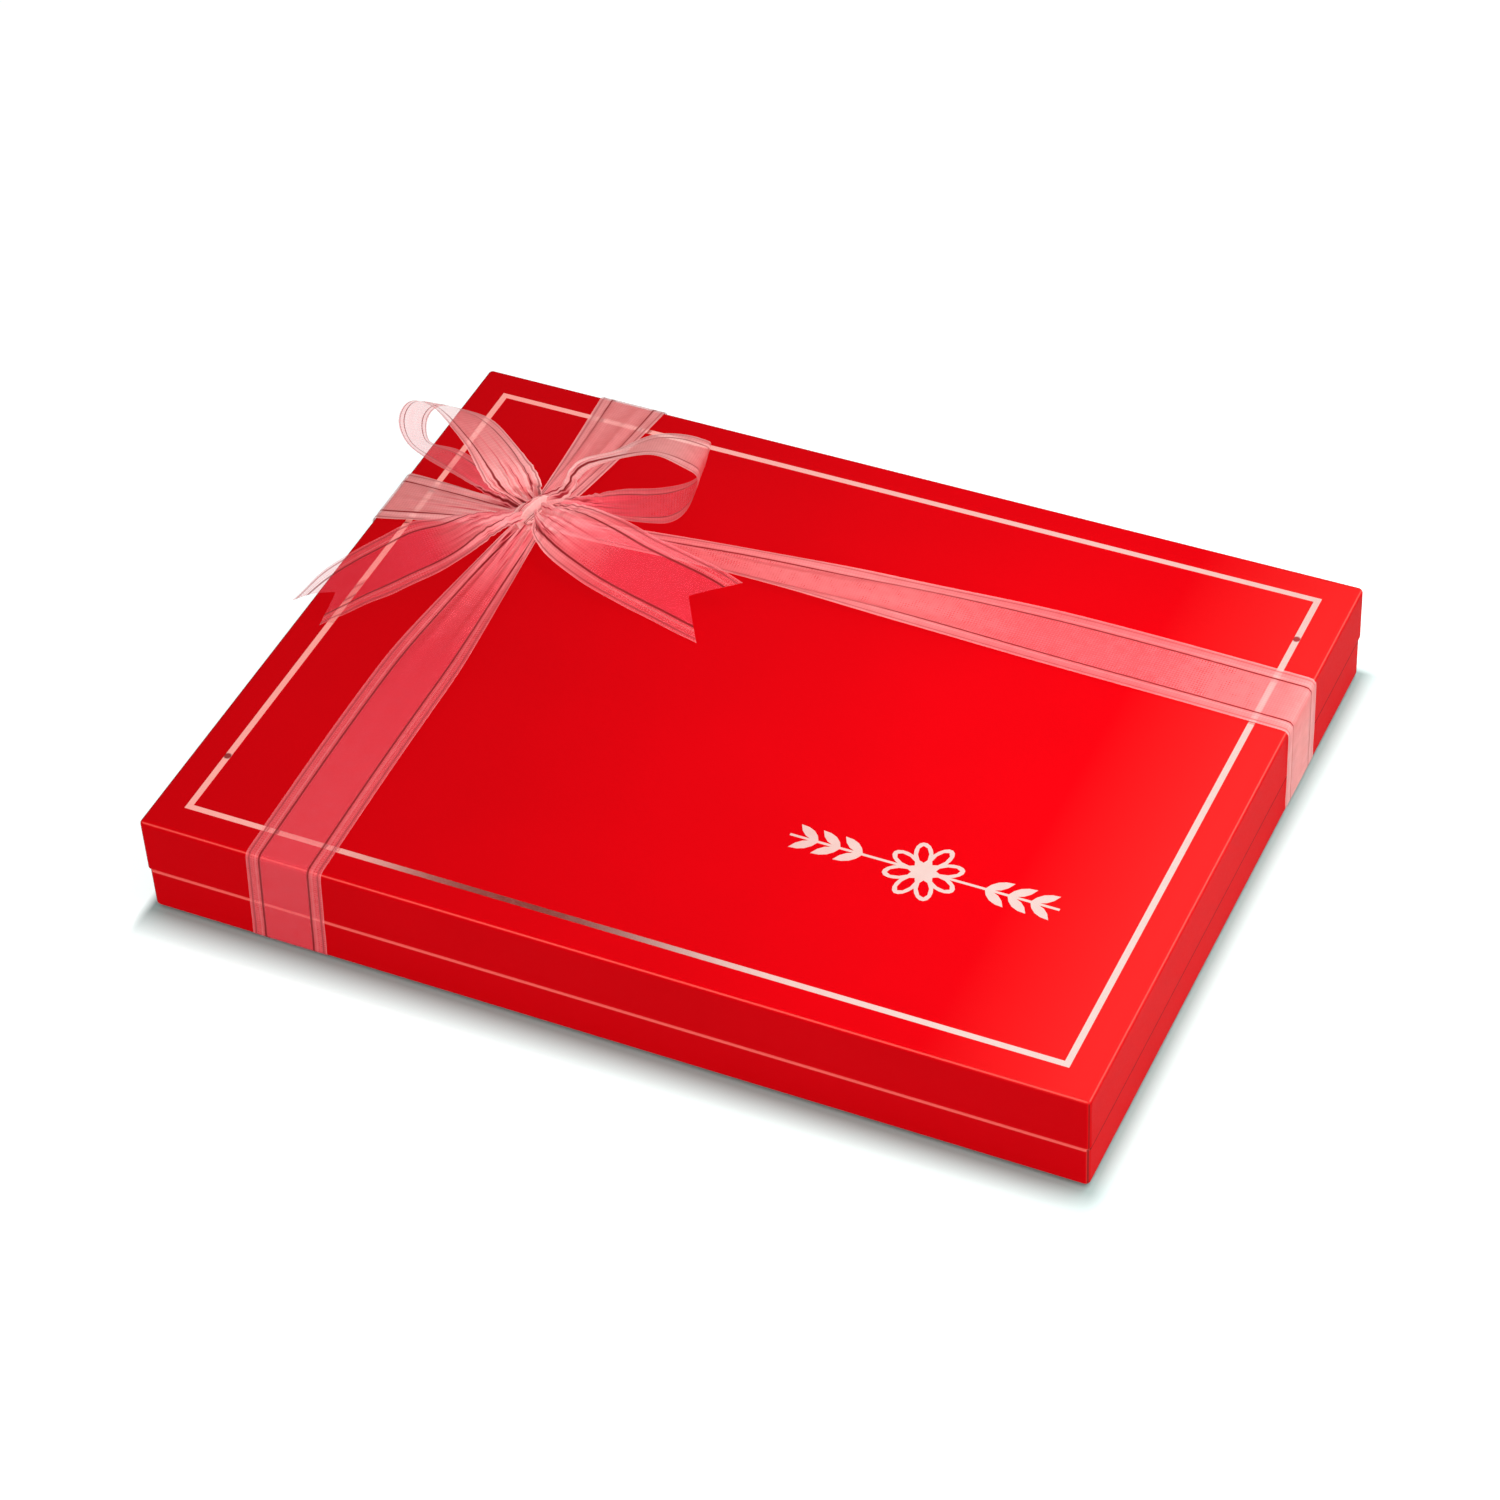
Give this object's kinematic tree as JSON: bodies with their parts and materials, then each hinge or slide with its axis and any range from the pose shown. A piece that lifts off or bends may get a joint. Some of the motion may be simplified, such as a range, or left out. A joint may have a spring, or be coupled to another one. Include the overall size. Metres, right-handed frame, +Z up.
{
  "type": "ribbon-tied gift box of chocolates",
  "caption": "Flat rectangular lift-off-lid gift box holding pralines in a card grid, tied with a sheer ribbon and a bow set off-centre on the lid.",
  "frame": {"origin": "middle of the lid's footprint, on the surface the box stands on", "axes": "+X along the long side to the right, +Y from the front to the back, +Z up out of the lid; the bow is at the left and back"},
  "size_m": [0.3046, 0.2314, 0.0763],
  "materials": {
    "red_paper": "satin",
    "greyboard": "matte",
    "white_paper": "matte",
    "white_board": "matte",
    "cushion_paper": "matte",
    "gold_card": "satin",
    "foil": "polished",
    "organza": "satin",
    "milk_chocolate": "satin",
    "dark_chocolate": "satin",
    "white_chocolate": "satin"
  },
  "bodies": {
    "base": {"ribbon_underside": "organza", "base_wrap": "red_paper", "base_board": "greyboard", "base_liner": "white_paper", "neck": "white_board"},
    "insert": {"bottom_pad": "cushion_paper", "divider_long_1": "gold_card", "divider_long_2": "gold_card", "divider_long_3": "gold_card", "divider_long_4": "gold_card", "divider_short_1": "gold_card", "divider_short_2": "gold_card", "divider_short_3": "gold_card", "divider_short_4": "gold_card", "divider_short_5": "gold_card"},
    "pralines": {"chocolate_01": "milk_chocolate", "chocolate_02": "dark_chocolate", "chocolate_03": "white_chocolate", "chocolate_04": "milk_chocolate", "chocolate_05": "dark_chocolate", "chocolate_06": "white_chocolate", "chocolate_07": "dark_chocolate", "chocolate_08": "white_chocolate", "chocolate_09": "milk_chocolate", "chocolate_10": "dark_chocolate", "chocolate_11": "white_chocolate", "chocolate_12": "milk_chocolate", "chocolate_13": "white_chocolate", "chocolate_14": "milk_chocolate", "chocolate_15": "dark_chocolate", "chocolate_16": "white_chocolate", "chocolate_17": "milk_chocolate", "chocolate_18": "dark_chocolate", "chocolate_19": "milk_chocolate", "chocolate_20": "dark_chocolate", "chocolate_21": "white_chocolate", "chocolate_22": "milk_chocolate", "chocolate_23": "dark_chocolate", "chocolate_24": "white_chocolate", "chocolate_25": "dark_chocolate", "chocolate_26": "white_chocolate", "chocolate_27": "milk_chocolate", "chocolate_28": "dark_chocolate", "chocolate_29": "white_chocolate", "chocolate_30": "milk_chocolate"},
    "cushion": {"top_pad": "cushion_paper"},
    "lid": {"lid_wrap": "red_paper", "lid_board": "greyboard", "lid_liner": "white_paper", "foil_border": "foil", "foil_ornament": "foil"},
    "ribbon": {"band_front": "organza", "band_back": "organza", "band_left": "organza", "band_right": "organza", "knot": "organza", "loop_right": "organza", "loop_left": "organza", "tail_right": "organza", "tail_left": "organza"}
  },
  "joints": [
    {"name": "insert_lift", "type": "slide", "parent": "base", "child": "insert", "axis": [0, 0, 1], "range_m": [0, 0.05]},
    {"name": "pralines_lift", "type": "slide", "parent": "insert", "child": "pralines", "axis": [0, 0, 1], "range_m": [0, 0.04]},
    {"name": "cushion_lift", "type": "slide", "parent": "pralines", "child": "cushion", "axis": [0, 0, 1], "range_m": [0, 0.04]},
    {"name": "lid_lift", "type": "slide", "parent": "cushion", "child": "lid", "axis": [0, 0, 1], "range_m": [0, 0.09]},
    {"name": "ribbon_lift", "type": "slide", "parent": "lid", "child": "ribbon", "axis": [0, 0, 1], "range_m": [0, 0.06]}
  ]
}
